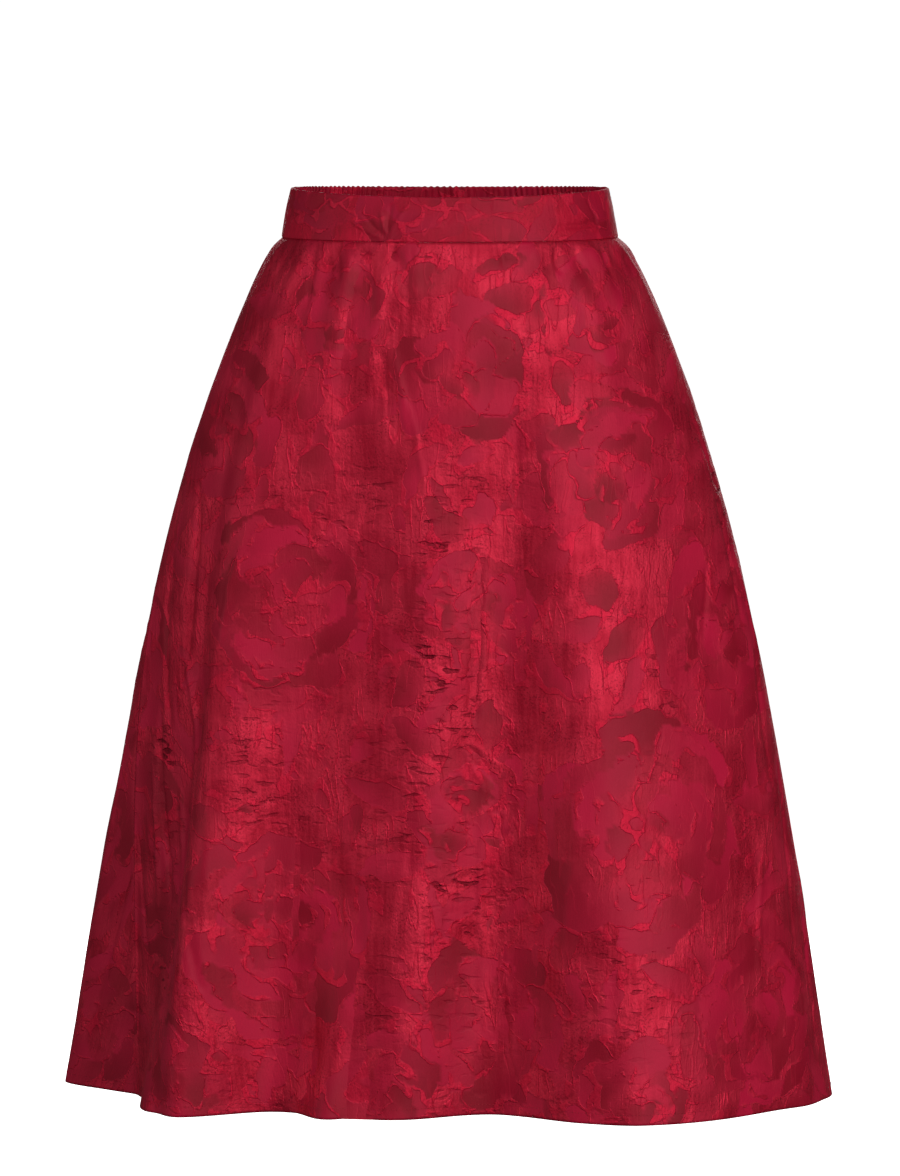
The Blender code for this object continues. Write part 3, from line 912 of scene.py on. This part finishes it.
def makeStitches(name, line, normals, look, material):
    # a row of stitches along a line of points, each a short thread that dips in at its ends
    arc = np.concatenate([[0.0], np.cumsum(np.linalg.norm(np.diff(line, axis=0), axis=1))])
    count = int((arc[-1] - 4 * look["pitch"]) / look["pitch"])
    middles = (arc[-1] - count * look["pitch"]) / 2 + look["pitch"] * (0.5 + np.arange(count))
    middles = middles + look["uneven"] * np.sin(np.arange(count) * 2.7)
    share = np.linspace(-1, 1, look["sections"])
    places = middles[:, None] + share * look["length"] / 2
    centre = np.stack([np.interp(places, arc, line[:, axis]) for axis in range(3)], -1)
    outward = np.stack([np.interp(places, arc, normals[:, axis]) for axis in range(3)], -1)
    outward /= np.linalg.norm(outward, axis=-1, keepdims=True)
    tangent = np.gradient(centre, axis=1)
    aside = np.cross(tangent / np.linalg.norm(tangent, axis=-1, keepdims=True), outward)
    radius = look["width"] / 2 * (1 - 0.55 * np.abs(share) ** 3)
    lift = look["width"] * (0.45 - 0.70 * share ** 2)
    centre = centre + outward * lift[None, :, None]
    turn = np.linspace(0, 2 * np.pi, look["sides"], endpoint=False)
    ring = np.cos(turn)[:, None] * outward[:, :, None] + np.sin(turn)[:, None] * aside[:, :, None]
    points = centre[:, :, None] + ring * radius[None, :, None, None]
    index = np.arange(points.size // 3).reshape(points.shape[:3])
    after = np.roll(index, -1, axis=2)
    corners = [index[:, :-1], after[:, :-1], after[:, 1:], index[:, 1:]]
    faces = np.stack(corners, -1).reshape(-1, 4).tolist()
    faces += index[:, 0, ::-1].tolist() + index[:, -1].tolist()
    around = radius[None, :, None] * turn + 0 * places[:, :, None]
    clothPlace = np.stack([places[:, :, None] + 0 * turn, around], -1)
    return makeMesh(name, points.reshape(-1, 3), faces, material, {}, clothPlace.reshape(-1, 2))


print("skirt: cloth")
panelCloth = makeJacquard("wovenJacquardSatin", jacquard)
bandCloth = makeJacquard("wovenJacquardBand", bandJacquard)
hemThread = makeThread("sewingThread", hemStitch)
for side, front, blooms, creases, patches, seed in (
        ("front", True, frontBlooms, frontCreases, frontPatches, 11),
        ("back", False, backBlooms, backCreases, backPatches, 47)):
    panel, hemLine, hemNormals = makePanel(side + "PanelCloth", front, blooms, creases, patches,
                                           seed, panelCloth)
    stitches = makeStitches(side + "HemStitches", hemLine, hemNormals, hemStitch, hemThread)
    for piece in (panel, stitches):
        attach(piece, "root")
    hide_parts("skirt_" + side)

bandLook = {
    "columns": 420,
    "backColumns": 960,
    "faceRows": 30,
    "edgeRows": 6,
    "ribs": 80,              # the elastic's gathers round the back
    "ribDepth": 0.00105,
    "ribDrift": 0.9,         # how unevenly they are spaced
    "edgeRise": 0.0005,
    "faceStart": 0.028,      # the faces stop short of the rounded edges
    "faceShare": 0.955,
    "topRound": 0.030,
    "lowerRound": 0.022,
    "radius": 0.118,         # the band's mean one, for places on its cloth
    "calm": 0.5,             # the fusing keeps the relief down
}
bandCreases = (
    (-46, 37, 34, -62, 1.9, 1.6, 0),
    (-46, 37, 31, -84, 1.8, -1.6, 0),
    (-45, 37, 26, -104, 1.8, 1.4, 0),
    (-47, 37, 30, -130, 1.8, -1.3, 0),
    (-48, 38, 36, -148, 1.9, 1.2, 0),
    (-44, 37, 30, -40, 1.9, -1.1, 0),
    (78, 30, 60, -4, 2.6, -1.5, 0),
    (-118, 20, 40, -28, 2.4, 1.0, 0),
    (30, 14, 26, -70, 2.0, 1.0, 0),
    (-6, 26, 24, -52, 2.0, -1.0, 0),
    (120, 6, 28, 70, 2.2, -1.0, 0),
)


def bandSection():
    # the wall's section as shares of its height and thickness: down the outer face, round
    # the lower edge, up the inner face and over the rounded top
    face = np.linspace(0, 1, bandLook["faceRows"])
    turn = np.linspace(0, np.pi, bandLook["edgeRows"] + 2)[1:-1]
    lower = 1 + bandLook["lowerRound"] * np.sin(turn)
    top = -bandLook["topRound"] * np.sin(turn)
    share = np.concatenate([face, lower, face[::-1], top])
    inward = 0.5 - 0.5 * np.cos(turn)
    depth = np.concatenate([0 * face, inward, 0 * face + 1, 1 - inward])
    return share * bandLook["faceShare"] + bandLook["faceStart"], depth


def makeBand(name, front, blooms, creases, seed, material):
    centre = 0.0 if front else 180.0
    reach = 90.0 - math.degrees(skirtForm["sideGap"] / skirtForm["bandDepth"])
    columns = bandLook["columns" if front else "backColumns"] + 1
    share, depth = bandSection()
    around = np.linspace(centre - reach, centre + reach, columns)
    share, angles = np.meshgrid(share, around, indexing="ij")
    depth = depth[:, None] + 0 * share
    side = "front" if front else "back"
    upper, lower = (dict(zip(bandColumns, row)) for row in bandRows)
    halfWidth = upper["halfWidth"] + share * (lower["halfWidth"] - upper["halfWidth"])
    halfDepth = upper[side] + share * (lower[side] - upper[side])
    dip = skirtForm["frontDip" if front else "backDip"] * np.cos(np.radians(angles)) ** 2
    across = np.radians(angles - centre) * bandLook["radius"]
    ribs = np.zeros_like(share)
    if not front:
        drift = bandLook["ribDrift"] * softNoise(across / 0.012, share * 0.7, seed)
        ribs = np.cos(2 * bandLook["ribs"] * np.radians(angles - 90.0) + drift)
        ribs = ribs * (0.75 + 0.5 * softNoise(across / 0.009, share * 1.2, seed + 3))
        ribs = ribs * np.minimum(1.0, (90.0 - np.abs(angles - centre)) / 3.0)
    top = upper["height"] - dip + bandLook["edgeRise"] * ribs
    heights = top + share * (lower["height"] - top)
    down = share * (upper["height"] - lower["height"])
    layers = weaveMotifs(across, down, blooms, seed)
    layers["cross"] = bandLook["calm"] * crossStrength(across, down, (), seed)
    bulge = np.sin(np.pi * np.clip(share, 0, 1))
    relief = bandLook["ribDepth"] * ribs * (0.35 + 0.65 * bulge)
    relief = relief + creaseHeight(across, down, creases, seed) * (depth < 0.5)
    crinkled = puckerHeight(across, down, layers["edge"], layers["cross"], seed)
    relief = relief + bandLook["calm"] * crinkled * bulge
    outward = relief - depth * skirtForm["bandWall"]
    points = ovalPoints(halfWidth, halfDepth, angles, outward, heights)
    rows = len(points)
    index = np.arange(rows * columns).reshape(rows, columns)
    index = np.concatenate([index, index[:1]])
    corners = [index[:-1, :-1], index[1:, :-1], index[1:, 1:], index[:-1, 1:]]
    faces = np.stack(corners, -1).reshape(-1, 4).tolist()
    faces += [index[-2::-1, 0].tolist(), index[:-1, -1].tolist()]
    layers = {layer: values.ravel() for layer, values in layers.items()}
    clothPlace = np.stack([across.ravel(), down.ravel()], -1)
    return makeMesh(name, points.reshape(-1, 3), faces, material, layers, clothPlace)


print("skirt: waistband")
frontBand = makeBand("frontBandCloth", True, bandBlooms, bandCreases, 23, bandCloth)
backBand = makeBand("backBandCloth", False, bandBlooms, (), 31, bandCloth)
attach(frontBand, "root")
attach(backBand, "root")
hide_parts("waistband_front")
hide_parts("waistband_back")

print("skirt: camera, light and floor")
cameraSetup = {
    "distance": 7.0,      # from the middle of the waist, with a long lens
    "height": 0.30,       # above the waist
    "pitch": -4.94,
    "lens": 264.2,
    "sensor": 36.0,
}
cameraData = bpy.data.cameras.new("camera")
cameraData.lens = cameraSetup["lens"]
cameraData.sensor_width = cameraSetup["sensor"]
cameraData.clip_end = 200.0
camera = newObject("camera", cameraData)
camera.location = (0.0, -cameraSetup["distance"], cameraSetup["height"])
camera.rotation_euler = (math.radians(90 + cameraSetup["pitch"]), 0.0, 0.0)
bpy.context.scene.camera = camera


def addSoftbox(name, place, target, size, power):
    data = bpy.data.lights.new(name, "AREA")
    data.shape = "RECTANGLE"
    data.size, data.size_y = size
    data.energy = power
    light = newObject(name, data)
    light.location = place
    light.rotation_euler = (Vector(target) - Vector(place)).to_track_quat("-Z", "Y").to_euler()


lights = {
    # each softbox's place, where it points, its width and height, and its watts
    "key": ((2.5, -3.2, 0.2), (0.0, 0.0, -0.44), (2.0, 2.4), 84.0),
    "front": ((0.1, -3.9, 2.3), (0.0, 0.0, -0.12), (2.8, 1.8), 78.0),
    "left": ((-3.7, -1.2, 0.3), (0.0, 0.0, -0.45), (1.4, 2.4), 28.0),
    "behind": ((0.3, 3.6, 0.3), (0.0, 0.0, -0.35), (2.6, 2.0), 66.0),
}
for lightName, (place, target, size, power) in lights.items():
    addSoftbox(lightName, place, target, size, power)

# A white studio that the camera sees, and that throws little light of its own on the cloth
studio = {"white": 1.0, "ambient": 0.07}
world = bpy.data.worlds.new("paleStudio")
bpy.context.scene.world = world
world.use_nodes = True
seen = addNode(world.node_tree, "LightPath", out="Is Camera Ray")
glow = (seen, 0.0, 1.0, studio["ambient"], studio["white"])
glow = addNode(world.node_tree, "MapRange", glow, **smooth)
backdrop = world.node_tree.nodes["Background"].inputs
world.node_tree.links.new(glow, backdrop["Strength"])
backdrop["Color"].default_value = (1.0, 1.0, 1.0, 1.0)
bpy.context.scene.view_settings.view_transform = "Standard"

floorLook = {"side": 60.0, "front": -30.0, "back": 150.0, "height": -1.05, "colour": "#F4F3F2"}
floorCorners = [(side * floorLook["side"], floorLook[end], 0.0)
                for side, end in ((-1, "front"), (1, "front"), (1, "back"), (-1, "back"))]
floorMesh = bpy.data.meshes.new("floor")
floorMesh.from_pydata(floorCorners, [], [(0, 1, 2, 3)])
floorMaterial = bpy.data.materials.new("palePaintedFloor")
floorMaterial.use_nodes = True
floorShader = floorMaterial.node_tree.nodes["Principled BSDF"]
floorShader.inputs["Base Color"].default_value = linearColour(floorLook["colour"])
floorShader.inputs["Roughness"].default_value = 0.9
floorShader.inputs["Emission Color"].default_value = (1.0, 1.0, 1.0, 1.0)
floorShader.inputs["Emission Strength"].default_value = 1.0
floorMesh.materials.append(floorMaterial)
floor = newObject("floor", floorMesh)
floor.location = (0.0, 0.0, floorLook["height"])
floor.visible_diffuse = False    # it throws no light back up
floor.visible_glossy = False
